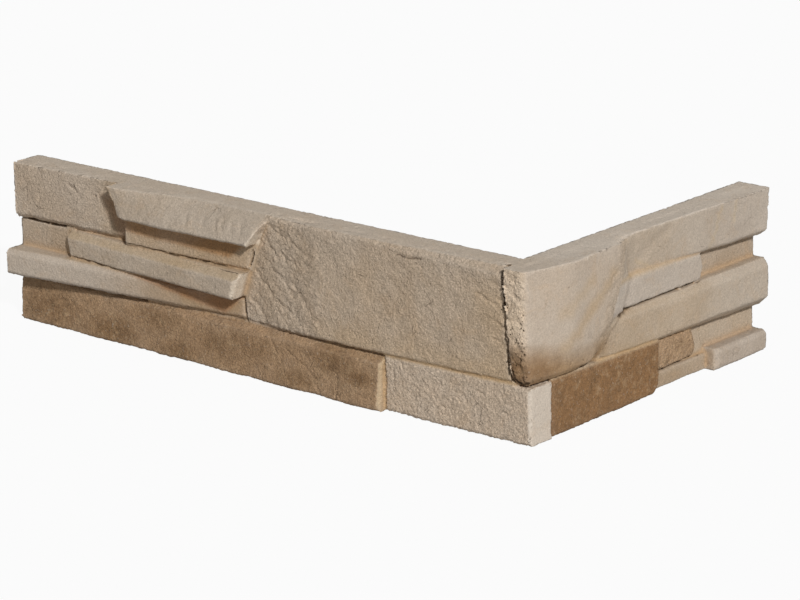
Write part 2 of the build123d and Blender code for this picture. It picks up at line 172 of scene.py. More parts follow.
FLUSH = 0.3  # Within this the skin lies on a back.
on_long_back = (np.abs(place[:, 1]) < FLUSH) & (place[:, 0] < FLUSH)
on_short_back = (np.abs(place[:, 0]) < FLUSH) & (place[:, 1] > -FLUSH)
on_back = (on_long_back | on_short_back).astype(float)
mould(np.ones(len(place)), BODY_TAN, swell=0.3, lumps=0.15, wear=0.8, grain=0.4)
mould(on_back, BACK_GREY, swell=0.3, lumps=0.6, grain=0.8, holes=0.4)


# The quoin's foot stone, at the corner's bed: split stone of a light sandy colour, cracked, and
# smooth on its end, where it was pressed against the mould. It shows on both legs.
QUOIN_FOOT, FOOT_START, TOE_START = 23.0, 85.0, 0.6
BELOW_BED, QUOIN_FOOT_TOP, RETURN_TOP, ROUND_CORNER = -9, (34, 32), 34.4, -40
FOOT_SAND, END_PALE = (0.56, 0.445, 0.335), (0.595, 0.51, 0.42)


def region(leg, near, far, bed, top, soft=1.4):
    """Weight of each point in a stone of one leg. Near and far are the reaches of its ends, bed and
    top its rises. A pair gives an end at its bed and its top, or a bed or top at its two ends."""
    near, far, bed, top = (np.broadcast_to(side, 2) for side in (near, far, bed, top))
    up = (RISE - bed[0]) / (top[0] - bed[0])
    start = near[0] + (near[1] - near[0]) * up
    end = far[0] + (far[1] - far[0]) * up
    along = (REACH[leg] - start) / (end - start)
    low = bed[0] + (bed[1] - bed[0]) * along
    high = top[0] + (top[1] - top[0]) * along
    rims = [REACH[leg] - start, end - REACH[leg], RISE - low, high - RISE]
    rims.append(DEPTH[leg] - BACKING[leg] + 2)
    return np.clip(np.minimum.reduce(rims) / soft + 0.5, 0, 1)


def trail(leg, points, width, sway=0.35, step=2.5):
    """Weight of each point near a wandering line of (reach, rise) points on one leg's front."""
    walk = [np.array(points[0], dtype=float)]
    for start, end in zip(points, points[1:]):
        run = np.array(end, dtype=float) - start
        count = max(1, round(np.hypot(*run) / step))
        walk += [start + run * (i + 1) / count + chance.normal(0, sway, 2) for i in range(count)]
    spots = np.stack([REACH[leg], RISE], 1)
    low, high = np.min(walk, 0) - width, np.max(walk, 0) + width
    on_front = (DEPTH[leg] > BACKING[leg] - 2) & (FACES_OUT[leg] > 0.3)
    near = np.flatnonzero(((spots > low) & (spots < high)).all(1) & on_front)
    weight = np.zeros(len(place))
    for start, end in zip(walk, walk[1:]):
        run = end - start
        share = np.clip((spots[near] - start) @ run / (run @ run), 0, 1)
        gap = np.linalg.norm(spots[near] - start - share[:, None] * run, axis=1)
        weight[near] = np.maximum(weight[near], 1 - gap / width)
    return weight


def cut(weight, depth, dark=1.0):
    """Adds a crack, a joint or a hole to the skin, so many millimetres deep, dark at its bottom."""
    amount["pit"][:] = np.maximum(amount["pit"], weight * depth)
    amount["dark"][:] = np.maximum(amount["dark"], weight * dark)


def air_holes(weight, count, smallest, largest):
    """Weight of each point in small round holes, scattered by chance where the weight allows."""
    holes = np.zeros(len(place))
    order = np.argsort(place[:, 0])
    across = place[order, 0]
    for centre in place[chance.choice(len(place), count, p=weight / weight.sum())]:
        radius = chance.uniform(smallest, largest)
        low, high = np.searchsorted(across, (centre[0] - radius, centre[0] + radius))
        near = order[low:high]
        gap = np.linalg.norm(place[near] - centre, axis=1) / radius
        holes[near] = np.maximum(holes[near], np.sqrt(np.clip(1 - gap * gap, 0, 1)))
    return holes


quoin_foot = region("long", -QUOIN_FOOT, FOOT_START, BELOW_BED, QUOIN_FOOT_TOP)
foot_return = region("short", ROUND_CORNER, TOE_START, BELOW_BED, RETURN_TOP)
quoin_foot = np.maximum(quoin_foot, foot_return) * (place[:, 1] < 0.4)
quoin_foot_end = quoin_foot * (facing[:, 0] > 0.6) * (place[:, 0] > 0)
mould(quoin_foot, FOOT_SAND, swell=0.9, lumps=0.6, split=1.4, wear=1.0, grain=1.0)
mould(quoin_foot_end, END_PALE, swell=0.3, lumps=0.25, split=0.1, grain=0.35, holes=0.3)
for crack in (
    [(69, 16), (62, 13), (60, 9), (61, 5)],
    [(33, 22), (26.5, 21), (25, 17)],
    [(18.5, 26), (13, 25)],
    [(48, 9), (44, 12), (40, 11)],
    [(81, 27), (77, 22), (78, 17)],
):
    cut(trail("long", crack, 0.7), 0.5, 0.4)
holed = quoin_foot_end * (facing[:, 1] < -0.05) + 0.01 * quoin_foot_end
cut(air_holes(holed, 7, 0.4, 0.8), 0.9, 0.8)

# The foot stone of the long leg: one long brown stone, blotched darker, with hairline cracks near
# its end and a weathered top edge that catches ochre.
LONG_END = 4 + round(-cad_box[0][0] * 1000, 3)
FOOT_TOP, BLOTCH_FLATNESS = (32.8, 31.5), 0.45
FOOT_BROWN, FOOT_DARK = (0.385, 0.25, 0.145), (0.20, 0.115, 0.055)
FOOT_END_OCHRE = (0.46, 0.335, 0.195)
foot = region("long", FOOT_START, LONG_END, BELOW_BED, FOOT_TOP)
mould(foot, FOOT_BROWN, swell=0.9, lumps=0.8, split=0.3, wear=1.0, grain=0.9, mottle=0.7)
for spot_reach, spot_rise, spread, share in (
    (101, 17, 12, 0.8),
    (122, 24, 18, 0.6),
    (184, 19, 20, 0.35),
    (214, 15, 18, 0.45),
    (241, 6, 16, 0.65),
    (262, 22, 22, 0.4),
    (298, 8, 22, 0.75),
    (350, 12, 26, 0.55),
    (150, 6, 14, 0.4),
):
    gap = np.hypot(REACH["long"] - spot_reach, (RISE - spot_rise) / BLOTCH_FLATNESS) / spread
    patch = foot * np.clip(1.2 - gap, 0, 1)
    paint(patch * share, FOOT_DARK)
    amount["mottle"][:] += patch * share
foot_end = foot * (facing[:, 0] > 0.45) * (REACH["long"] < FOOT_START + 6)
mould(foot_end, FOOT_END_OCHRE, lumps=0.3, split=0.0, grain=0.4, mottle=0.0)
for crack in (
    [(160, 24), (151, 20.4), (141.4, 15.5), (133, 9.7), (129.3, 1)],
    [(124, 19.8), (117.4, 16), (116.7, 7), (117.8, 1)],
    [(168, 27), (164, 20)],
    [(262, 24), (255, 19), (254, 13)],
    [(336, 22), (330, 17)],
):
    cut(trail("long", crack, 0.65), 0.5, 0.5)

# The band over the foot: a thin pale ledge that comes out further and further to the far end, with
# the shorter strip lying on it and an ochre recess beyond the strip's end. The band is painted
# browner towards its near end and dark brown under the strip, as painted shadow, and the strip's
# slanting near end, where it faces the key lamp, is painted cream as a painted highlight.
STRIP_LINE, PACKING_LINE, FACE_END, RECESS_START = 47.5, 64.0, 192.0, 332.5
BAND_BED, RECESS_BED, STRIP_NEAR = (32.5, 30.5), STRIP_LINE + 1.5, (FACE_END, 186)
FACET_NEAR, FACET_FAR, FACET_DEPTH = (185, 182), (208, 206), 20.5
BAND_GREY, BAND_NEAR_SHADE, BAND_SHADOW_BROWN = (0.49, 0.41, 0.33), (0.385, 0.26, 0.15), (0.35, 0.19, 0.095)
STRIP_BEIGE, STRIP_OCHRE, END_CREAM_HIGHLIGHT = (0.475, 0.38, 0.285), (0.44, 0.32, 0.19), (0.63, 0.53, 0.415)
RECESS_OCHRE = (0.45, 0.345, 0.245)
band = region("long", FACE_END, LONG_END, BAND_BED, STRIP_LINE)
strip = region("long", STRIP_NEAR, (RECESS_START, RECESS_START + 1), STRIP_LINE, PACKING_LINE)
recess = region("long", RECESS_START, LONG_END, RECESS_BED, PACKING_LINE)
mould(band, BAND_GREY, swell=0.7, lumps=0.45, split=0.15, wear=0.9, grain=0.5)
# Painted shade: the band is browner towards its near end, where the strip shades it.
paint(band * before(REACH["long"], 310, 80), BAND_NEAR_SHADE)
# Painted shadow: dark brown on the band under the strip, down to its shadow's lower edge.
shadow_edge_rise = 34.6 + 0.165 * (REACH["long"] - 213)
shadow_under_strip = past(RISE, shadow_edge_rise, 2) * past(REACH["long"] + RISE, 239, 4)
paint(band * shadow_under_strip, BAND_SHADOW_BROWN)
mould(strip, STRIP_BEIGE, swell=0.6, lumps=0.5, split=0.25, wear=0.9, grain=0.6)
mould(recess, RECESS_OCHRE, swell=0.5, lumps=0.5, split=0.2, grain=0.7)
paint(strip * np.clip(facing[:, 2] - 0.3, 0, 0.5) * 1.6, STRIP_OCHRE)
# Painted highlight: the strip's near end, where it faces the key lamp, is painted cream.
strip_end_lit = region("long", FACET_NEAR, FACET_FAR, STRIP_LINE, PACKING_LINE)
strip_end_lit = strip_end_lit * (DEPTH["long"] > FACET_DEPTH) * past(facing[:, 0], 0.12, 0.2)
paint(strip_end_lit, END_CREAM_HIGHLIGHT)

# The flat stone at the far end, and the packing strip under the shelf: plain split stone, brushed
# ochre, with painted shadow in dark brown where the shelf's end and its underside cast shadows.
FLAT_START, PACKING_NEAR, SHELF_LINE, ABOVE_TOP = 283.0, (186, 180), 81.5, 108
FLAT_BEIGE, FLAT_OCHRE_AND_SHADE, FLAT_SHADOW_BROWN = (0.48, 0.38, 0.285), (0.44, 0.325, 0.21), (0.34, 0.20, 0.105)
PACKING_OCHRE, PACKING_SHADOW_BROWN = (0.475, 0.35, 0.23), (0.375, 0.22, 0.11)
flat_stone = region("long", FLAT_START, LONG_END, PACKING_LINE, ABOVE_TOP)
packing = region("long", PACKING_NEAR, FLAT_START, PACKING_LINE, SHELF_LINE)
mould(flat_stone, FLAT_BEIGE, swell=0.9, lumps=0.8, split=0.5, wear=1.0, grain=0.9)
# Ochre by the shelf's far end, reaching out as painted shadow where the shelf's end shades it.
paint(flat_stone * before(REACH["long"], 310, 16), FLAT_OCHRE_AND_SHADE)
# Painted shadow: the shelf's end casts it on the flat stone, and it is painted in dark brown.
shadow_of_shelf_end = before(REACH["long"], 0.62 * RISE + 253, 6) * before(RISE, 93, 6)
paint(flat_stone * shadow_of_shelf_end, FLAT_SHADOW_BROWN)
mould(packing, PACKING_OCHRE, swell=0.6, lumps=0.5, split=0.2, grain=0.7)
# Painted shadow: dark brown on the packing strip under the shelf, down to its shadow's edge.
shadow_edge_rise = 69.2 + 0.034 * (REACH["long"] - 205)
shadow_under_shelf = past(RISE, shadow_edge_rise, 1.6) * past(REACH["long"] + 1.2 * RISE, 282, 4)
paint(packing * shadow_under_shelf, PACKING_SHADOW_BROWN)
cut(air_holes(flat_stone, 10, 0.5, 1.0), 0.9, 0.7)
cut(trail("long", [(331, 93), (326, 90), (324, 88)], 1.0), 0.7, 0.6)

# The shelf: the ledge that juts out along the long leg's top, cut off slanting at both ends,
# painted cream on its near end as a painted highlight where it faces the key lamp, and scored by
# short tool strokes on its brow.
SHELF_NEAR, SHELF_FAR, SHELF_BACK = (180, 169), (280, 292), 15
BEVEL_NEAR, BEVEL_FAR, BEVEL_BACK = (171, 158), 200, 14
SHELF_GREY, STROKE_TOP = (0.435, 0.354, 0.272), 93
shelf = region("long", SHELF_NEAR, SHELF_FAR, SHELF_LINE, ABOVE_TOP) * (DEPTH["long"] > SHELF_BACK)
mould(shelf, SHELF_GREY, swell=0.8, lumps=0.6, split=0.3, wear=1.0, grain=0.6)
# Painted highlight: the shelf's near end, where it faces the key lamp, is painted cream.
shelf_end_lit = region("long", BEVEL_NEAR, BEVEL_FAR, SHELF_LINE, ABOVE_TOP)
shelf_end_lit = shelf_end_lit * (DEPTH["long"] > BEVEL_BACK) * past(facing[:, 0], 0.12, 0.2)
mould(shelf_end_lit, END_CREAM_HIGHLIGHT, lumps=0.3, split=0.1, grain=0.4)
for reach in (187, 194, 201, 206, 216, 229):
    stroke = [(reach, STROKE_TOP), (reach - 2, STROKE_TOP - chance.uniform(3, 6))]
    cut(trail("long", stroke, 1.8, sway=0.6), 0.45, 0.05)

# The large face stone: split stone, with slanting cleavage on its far third, a low ridge where the
# cleavage ends, finer grain from there to the corner, and a chipped top edge.
FACE_NEAR, FACE_FAR, FACE_BED, FACE_BACK = (-8, -1), (FACE_END, 169), (34.5, 32.5), 12
CLEAVAGE_START, CLEAVAGE_FADE = 122, 22
FACE_SAND, FACE_WARM, FACE_GREY = (0.49, 0.377, 0.268), (0.51, 0.375, 0.24), (0.465, 0.368, 0.275)
face_stone = region("long", FACE_NEAR, FACE_FAR, FACE_BED, ABOVE_TOP) * (DEPTH["long"] > FACE_BACK)
past_ridge = REACH["long"] - CLEAVAGE_START - 0.12 * np.clip(RISE - 60, 0, 40)
cleaved = face_stone * np.clip(past_ridge / CLEAVAGE_FADE, 0, 1)
mould(face_stone, FACE_SAND, swell=1.0, lumps=1.0, split=0.3, wear=0.9, grain=1.0)
paint(face_stone * before(RISE, 50, 18) * 0.8, FACE_WARM)
paint(face_stone * before(REACH["long"], 30, 25) * 0.5, FACE_WARM)
paint(face_stone * past(RISE, 82, 14) * 0.7, FACE_GREY)
mould(cleaved, FACE_GREY, split=1.1, lumps=0.9, grain=1.0)
paint(cleaved * 0.45, FACE_SAND)
for ridge in (
    [(169, 93), (151, 86), (135, 80)],
    [(174, 73), (162, 66), (152, 56)],
    [(154, 63), (142, 52), (130, 41)],
    [(180, 62), (168, 53)],
    [(166, 50), (146, 42)],
    [(178, 84), (160, 76), (148, 74)],
    [(186, 46), (176, 38)],
):
    cut(trail("long", ridge, 2.0, sway=1.1), 0.6, 0.1)
cut(trail("long", [(74, 94), (65, 93.5), (56, 94)], 1.0), 1.0, 0.6)
for dent in (
    [(-1, 76), (9, 79), (17, 82)],
    [(-1, 66), (10, 70)],
    [(-1, 88), (8, 90)],
    [(0, 57), (6, 58)],
):
    cut(trail("long", dent, 1.4), 0.8, 0.15)

# The quoin stone: a big smooth-worn stone that turns the corner. Its end is raw and full of holes,
# its lower corner is stained brown, and faint warm veins run up its face. The crevice beside the
# raw end leans towards the corner as it goes down.
QUOIN_PALE, QUOIN_RAW, QUOIN_RIM = (0.485, 0.395, 0.308), (0.67, 0.525, 0.38), (0.46, 0.36, 0.262)
QUOIN_BROWN, QUOIN_STAIN, QUOIN_VEIN = (0.35, 0.222, 0.115), (0.26, 0.155, 0.08), (0.47, 0.345, 0.22)
QUOIN_BED, QUOIN_START, QUOIN_FAR = 34.5, -26, (44, 74)
CREVICE_TOP, CREVICE_LEAN, CREVICE_FOOT = 1.0, 0.112, 35.2
quoin = region("short", QUOIN_START, QUOIN_FAR, QUOIN_BED, ABOVE_TOP)
past_crevice = place[:, 0] > CREVICE_TOP + CREVICE_LEAN * (PANEL_TOP - RISE)
past_crevice = past_crevice & (place[:, 1] < -13) & (RISE > CREVICE_FOOT)
quoin = np.maximum(quoin, past_crevice)
quoin_end = quoin * past(-facing[:, 1], 0.5, 0.45) * (place[:, 1] < -12)
quoin_end = np.maximum(quoin_end, past_crevice * (facing[:, 0] < -0.2))
mould(quoin, QUOIN_PALE, swell=0.9, lumps=0.3, split=0.1, wear=0.7, grain=0.35)
mould(quoin_end, QUOIN_RAW, swell=1.2, lumps=0.6, split=1.4, wear=0.9, grain=1.0, holes=1.3)
quoin_rim = quoin * np.clip((REACH["short"] - 30 - 0.4 * (RISE - 35)) / 10, 0, 1)
mould(quoin_rim * 0.8, QUOIN_RIM, lumps=1.2, split=1.1, grain=0.8)
brown_foot = np.clip((60 - RISE - 0.2 * np.clip(REACH["short"] + 18, 0, 60)) / 15, 0, 1)
paint(quoin * brown_foot * 0.92, QUOIN_BROWN)
paint(quoin * brown_foot * before(REACH["short"], 8, 16) * 0.78, QUOIN_STAIN)
amount["mottle"][:] = np.maximum(amount["mottle"], quoin * brown_foot * 0.8)
paint(quoin_end * before(RISE, 66, 24) * 0.6, QUOIN_STAIN)
for vein in (
    [(4, 71), (16, 77), (30, 85)],
    [(28, 66), (40, 76), (54, 84)],
    [(6, 52), (20, 60), (30, 70)],
):
    paint(quoin * trail("short", vein, 5.5, sway=1.0) * 0.7, QUOIN_VEIN)
for crease in (
    [(43, 73), (50, 74), (58.4, 78.3), (68, 80)],
    [(45, 64), (50, 66), (56, 64)],
    [(52, 54), (56, 47)],
    [(50, 80), (60, 86), (68, 92)],
):
    cut(trail("short", crease, 1.4), 0.5, 0.1)
for dent in (
    [(1, 95), (-13, 94)],
    [(-3, 90), (-16, 84)],
    [(1, 80), (-8, 78)],
    [(-2, 72), (-14, 70)],
    [(-7, 61), (-17, 56)],
    [(-5, 52), (-12, 51)],
    [(-8, 45), (-18, 43)],
):
    cut(trail("long", dent, 2.4, sway=1.6), 0.9, 0.1)
toward_arris = np.clip((place[:, 0] - 8) / 14, 0.12, 1)
cut(air_holes(quoin_end * toward_arris, 40, 0.3, 0.85), 1.0, 0.8)
cut(air_holes(quoin * before(RISE, 42, 5), 18, 0.4, 0.8), 0.7, 0.7)

# The short leg's bed course: a brown stone like the long leg's, a worn brown chip, a thin ochre
# stone tucked behind, a pale nose at the end, and the recess over the thin stone and the nose.
SHORT_END = 8 + round(cad_box[1][1] * 1000, 3)
TOE_END, THIN_END, NOSE_START = 101, 154, 153.5
TOE_TOP, CHIP_FAR, CHIP_BED, CHIP_TOP = (33.8, 31.4), (142, 139), 12, (31, 30.5)
THIN_TOP, NOSE_TOP, RECESS_NEAR, RECESS_TOP = 11, 14, 139, (29, 27)
TOE_BROWN, CHIP_BROWN, THIN_OCHRE = (0.27, 0.152, 0.072), (0.43, 0.29, 0.177), (0.385, 0.285, 0.19)
NOSE_PALE, LOW_RECESS_TAN = (0.42, 0.345, 0.275), (0.465, 0.37, 0.272)
toe_brown = region("short", TOE_START, TOE_END, BELOW_BED, TOE_TOP)
chip = region("short", TOE_END, CHIP_FAR, CHIP_BED, CHIP_TOP)
thin = region("short", TOE_END, THIN_END, BELOW_BED, THIN_TOP)
nose = region("short", NOSE_START, SHORT_END, BELOW_BED, NOSE_TOP)
low_recess = region("short", RECESS_NEAR, SHORT_END, CHIP_BED, RECESS_TOP)
mould(low_recess, LOW_RECESS_TAN, swell=0.4, lumps=0.4, split=0.15, grain=0.6)
mould(toe_brown, TOE_BROWN, swell=0.7, lumps=0.5, split=0.4, wear=0.9, grain=0.8, mottle=1.0)
mould(chip, CHIP_BROWN, swell=0.7, lumps=1.1, split=1.0, wear=1.0, grain=1.0, mottle=1.0)
mould(thin, THIN_OCHRE, swell=0.4, lumps=0.4, split=0.2, grain=0.6)
mould(nose, NOSE_PALE, swell=0.5, lumps=0.4, split=0.15, wear=0.8, grain=0.45)
cut(trail("short", [(60, 12), (66, 8), (74, 10), (80, 7)], 0.7), 0.5, -0.2)
cut(trail("short", [(155, 13), (156, 8), (154.6, 3)], 1.8, sway=0.9), 0.9, 0.2)

# The short leg's upper courses: a long belly stone, a wedge lying on it, and the brow stone along
# the top, all water-worn and pale, with faint ochre veins and ochre along their undersides.
BELLY_LINE, WEDGE_END, BROW_LINE = 57, 142, 70.5
BELLY_NEAR, BELLY_BED, WEDGE_NEAR, WEDGE_TOP = (30, 50), (33.8, 27.5), (46, 52), (78, 74)
BROW_NEAR, BROW_BED = (56, 60), (77.5, BROW_LINE)
BELLY_TAN, BELLY_FAR, BELLY_OCHRE = (0.435, 0.338, 0.24), (0.455, 0.385, 0.312), (0.40, 0.28, 0.165)
WEDGE_GREY, WEDGE_PALE, WEDGE_OCHRE = (0.465, 0.392, 0.32), (0.49, 0.417, 0.345), (0.47, 0.345, 0.215)
BROW_TAN, BROW_FAR, BROW_OCHRE = (0.45, 0.366, 0.28), (0.46, 0.39, 0.322), (0.44, 0.33, 0.215)
BROW_VEIN, HIGH_RECESS_TAN, CREASE_BROWN = (0.50, 0.39, 0.26), (0.415, 0.32, 0.23), (0.36, 0.24, 0.135)
beyond = np.clip(2 - 2 * quoin, 0, 1)
belly = region("short", BELLY_NEAR, SHORT_END, BELLY_BED, BELLY_LINE) * beyond
wedge = region("short", WEDGE_NEAR, (WEDGE_END + 3, WEDGE_END), BELLY_LINE, WEDGE_TOP) * beyond
brow = region("short", BROW_NEAR, SHORT_END, BROW_BED, ABOVE_TOP) * beyond
high_recess = region("short", WEDGE_END, SHORT_END, BELLY_LINE, BROW_LINE)
mould(high_recess, HIGH_RECESS_TAN, swell=0.4, lumps=0.4, split=0.15, grain=0.6)
mould(belly, BELLY_TAN, swell=0.7, lumps=0.3, split=0.1, wear=0.7, grain=0.45)
mould(wedge, WEDGE_GREY, swell=0.8, lumps=0.35, split=0.1, wear=0.8, grain=0.4)
mould(brow, BROW_TAN, swell=0.9, lumps=0.3, split=0.1, wear=0.8, grain=0.4)
paint(belly * past(REACH["short"], 120, 60) * 0.8, BELLY_FAR)
paint(belly * before(RISE, 44 - 0.06 * REACH["short"], 9) * 0.8, BELLY_OCHRE)
paint(brow * past(REACH["short"], 110, 60) * 0.8, BROW_FAR)
paint(wedge * before(REACH["short"], 105, 30), WEDGE_PALE)
paint(wedge * past(RISE, 73, 3), WEDGE_OCHRE)
paint(brow * before(RISE, 80 - 0.03 * REACH["short"], 8) * 0.6, BROW_OCHRE)
for vein in (
    [(158.6, 98.6), (155, 88), (149.7, 73.7)],
    [(172.7, 98.5), (170.6, 87)],
    [(81, 83), (94.6, 76)],
):
    paint(brow * trail("short", vein, 2.0, sway=0.8) * 0.6, BROW_VEIN)
cut(trail("short", [(84, 84), (95, 90), (108, 95)], 5.0, sway=0.8) * brow, 0.7, 0.0)
stain_gap = np.hypot((REACH["short"] - 44) / 20, (RISE - 42) / 10)
stain = np.maximum(quoin, belly) * np.clip(1.2 - stain_gap, 0, 1)
paint(stain * 0.7, CREASE_BROWN)
cut(air_holes(stain, 16, 0.3, 0.7), 0.6, 0.6)


# The joints: open seams between neighbouring stones, where brown dust has gathered, ochre laps
# along the foot stones, and the ragged crevice down the corner, at the quoin stone's end.
SEAM_WIDTH, LAP_WIDTH, CREVICE_WIDTH = 0.6, 1.7, 1.3
LAP_OCHRE = (0.48, 0.34, 0.19)
for leg, seam, depth in (
    ("long", [(376, 64.5), (356, 64.4), (343, 65), (331, 65)], 0.1),
    ("long", [(284, 65), (254, 64.8), (231, 64.4), (189, 64)], 0.4),
    ("long", [(376, 31), (285, 32.6), (248, 33.0), (207, 33.2), (192, 33)], 0.0),
    ("long", [(192, 33.1), (156, 32.8), (133, 32.2)], 0.0),
    ("long", [(192, 33), (192.3, 47)], 0.1),
    ("long", [(186.5, 64), (181, 81)], 0.1),
    ("long", [(327, 48.5), (290, 48.1), (262, 47.9), (192, 47.5)], 0.4),
    ("short", [(65, 57), (81, 57), (114, 57.2), (143, 57.3)], 0.2),
    ("short", [(143, 72.6), (154, 72.2), (176, 71.6), (191, 71), (206, 70.6)], 0.5),
    ("short", [(103, 11), (120, 10.8), (141, 11.4)], 0.2),
    ("short", [(145, 29.9), (157, 29.4), (189, 28.4), (206, 27.8)], 0.4),
    ("short", [(0.6, 33), (0.5, -1)], 0.1),
):
    cut(trail(leg, seam, SEAM_WIDTH, sway=0.25, step=4), depth, 0.8)
cut(trail("short", [(62, 55.6), (65, 56.2), (69, 56.6)], 2.6), 1.5, 0.9)
cut(trail("short", [(68, 56.7), (76, 57)], 1.5), 1.0, 0.9)
for leg, lap in (
    ("short", [(1, 34.6), (25, 34.2), (50, 33.8), (75, 33), (99, 32.4)]),
    ("long", [(133, 32.4), (102, 33), (85, 33.6), (40, 34.3), (-8, 34.6)]),
    ("long", [(85, 32), (84.8, 2)]),
):
    paint(trail(leg, lap, LAP_WIDTH, sway=0.2) * 0.75, LAP_OCHRE)
crevice = [
    (-0.8, 99), (-1.5, 86), (-3.2, 72), (-4.8, 58),
    (-6, 48), (-9, 38), (-13, 35.5), (-20, 35),
]
cut(np.clip(1.7 * trail("long", crevice, CREVICE_WIDTH, sway=0.8), 0, 1), 0.7, 1.0)

# The quoin stone's far rim runs out over its neighbours without a step, so dust, painted shade and
# wear pass it by. Its reaches are given at a row of rises, from its foot to near the top.
RIM_RISES = (36, 42, 48, 52, 60, 66, 72, 80, 97)
RIM_REACHES = (44, 45.5, 50.5, 56, 63.8, 66, 68, 70, 69.5)
rim_end = np.interp(RISE, RIM_RISES, RIM_REACHES)
near_rim = np.clip(1.5 - np.abs(REACH["short"] - rim_end + 4) / 10, 0, 1) * (place[:, 0] > 12)
near_rim *= past(RISE, 37, 4)
joint_dust_and_shade *= 1 - near_rim
corner_dust *= 1 - 0.7 * near_rim
edge_wear *= 1 - near_rim
# The hollows are darkened a little: partly dust, partly painted shade.
amount["dark"][:] = np.maximum(amount["dark"], joint_dust_and_shade * 0.2)
amount["ochre"][:] = np.clip(corner_dust * 0.9 + 0.25 * joint_dust_and_shade, 0, 1) * (1 - on_back)
amount["ochre"][:] *= 1 - 0.8 * np.maximum(strip_end_lit, shelf_end_lit)
amount["mottle"][:] = np.maximum(amount["mottle"] * (1 - on_back), on_back * 0.25)

# The top, the bed and the backs: bare, greyer concrete. Air rose to the open backs as the mix
# set, so there are holes on them and along the long back's upper arris.
TOP_GREY, RETURN_GREY = (0.59, 0.50, 0.405), (0.63, 0.545, 0.455)
BARELY = 1e-9  # Keeps a hole possible everywhere.
on_top = np.clip((RISE - PANEL_TOP + 0.5) / 0.4, 0, 1) * (facing[:, 2] > 0.7)
on_bed = np.clip(0.8 - RISE, 0, 1) * (facing[:, 2] < -0.7)
mould(on_top * 0.75, TOP_GREY, grain=0.35, holes=0.2)
paint(on_top * np.clip(place[:, 1] / 20, 0, 0.75), RETURN_GREY)
by_the_arris = np.clip(1 - np.abs(place[:, 1] + 1) / 4, 0.03, 1)
cut(air_holes(on_top * by_the_arris + BARELY, 60, 0.35, 0.8), 0.7, 0.9)
cut(air_holes(on_back + on_bed + BARELY, 110, 0.6, 1.6), 1.0, 0.5)


# The relief itself, pressed into the skin one kind after the other and mostly inwards: the swell
# and the lumps of the stones, split grain, slanting cleavage, worn arrises, grit, and the cuts.
STEPS, CLEAVAGE_SLANT = 24, radians(37)


def press(name, weight, strength, texture=None, level=0.6, guide=None):
    """Moves the skin along its normals by a pattern, in metres, as the weight of each point says."""
    group = casting.vertex_groups.new(name=name)
    shares = np.round(np.clip(weight, 0, 1) * STEPS).astype(int)
    for share in range(1, STEPS + 1):
        chosen = np.flatnonzero(shares == share)
        if chosen.size:
            group.add(chosen.tolist(), share / STEPS, "REPLACE")
    displace = casting.modifiers.new(name, "DISPLACE")
    displace.vertex_group = name
    displace.strength = strength
    displace.mid_level = level
    if texture:
        displace.texture = texture
        displace.texture_coords = "OBJECT" if guide else "LOCAL"
        displace.texture_coords_object = guide
    bpy.ops.object.modifier_apply(modifier=name)
    casting.vertex_groups.clear()


def pattern(name, size, depth, kind="SOFT_NOISE", contrast=1.0):
    """A solid cloud texture whose lumps have a size in metres."""
    texture = bpy.data.textures.new(name, "CLOUDS")
    texture.noise_scale = size
    texture.noise_depth = depth
    texture.noise_type = kind
    texture.contrast = contrast
    return texture


cleavage = bpy.data.objects.new("cleavage", None)
bpy.context.scene.collection.objects.link(cleavage)
cleavage.matrix_world = Matrix.Rotation(CLEAVAGE_SLANT, 4, "Y") @ Matrix.Diagonal((1.5, 1, 1, 1))
bpy.context.view_layer.update()
press("swell", amount["swell"] / 1.2, 0.0020, pattern("swell", 0.024, 1))
press("lumps", amount["lumps"] / 1.6, 0.0011, pattern("lumps", 0.0048, 2))
press("split", amount["split"] / 1.4, 0.0012, pattern("split", 0.0026, 3, "HARD_NOISE"), 0.45)
press("cleaved", cleaved, 0.0010, pattern("cleaved", 0.0036, 3, "HARD_NOISE"), 0.45, cleavage)
press("wear", arris * amount["wear"] / 1.1, -0.0010, pattern("wear", 0.0042, 3, contrast=1.5), 0.4)
grit = (0.5 + 0.5 * amount["grain"]) * (1 - 0.8 * on_back)
press("grit", grit, 0.0006, pattern("grit", 0.0014, 2), 0.5)
press("cuts", amount["pit"] / 1.6, -0.0016, level=0.0)
bpy.data.objects.remove(cleavage)

# Two places are shaped apart: the quoin stone's rim, which is filled out to a soft ramp, and the
# joint over the foot stones, which is filled so that it stays a hairline.
RIM_DEPTH, RIM_FALL, MOST_LIFT = 23.2, 4.6, 1.4
JOINT_RISE, JOINT_FRONT, FILL_START, FILL_TURN, FILL_END = 31.8, -10.5, 80, 190, 270
FOOT_FILL, BAND_FILL, FILL_SLOPE = -0.0165, -0.0150, -0.000035
pressed = rows(skin.vertices, "co", 3)
ramp = RIM_DEPTH - RIM_FALL * np.clip((REACH["short"] - rim_end + 12) / 17, 0, 1)
lift = np.clip(ramp - place[:, 0], 0, MOST_LIFT) * before(REACH["short"], rim_end + 9, 6)
lift *= past(place[:, 0], 15, 2) * past(RISE, 36, 3) * (FACES_OUT["short"] > 0.3)
pressed[:, 0] += lift / 1000 * (REACH["short"] > 25)
smooth = widened(far_mean, 60)
pressed += (smooth - place) / 1000 * near_rim[:, None]
joint_line = (np.abs(RISE - JOINT_RISE) < 2.5) & (place[:, 1] < JOINT_FRONT)
under_face = (REACH["long"] > FILL_START) & (REACH["long"] < FILL_TURN)
under_band = (REACH["long"] >= FILL_TURN) & (REACH["long"] < FILL_END)
foot_joint = joint_line & under_face & (RISE > 31)
band_joint = joint_line & under_band
pressed[foot_joint, 1] = np.minimum(pressed[foot_joint, 1], FOOT_FILL)
joint_bed = BAND_FILL + FILL_SLOPE * (REACH["long"][band_joint] - FILL_TURN)
pressed[band_joint, 1] = np.minimum(pressed[band_joint, 1], joint_bed)

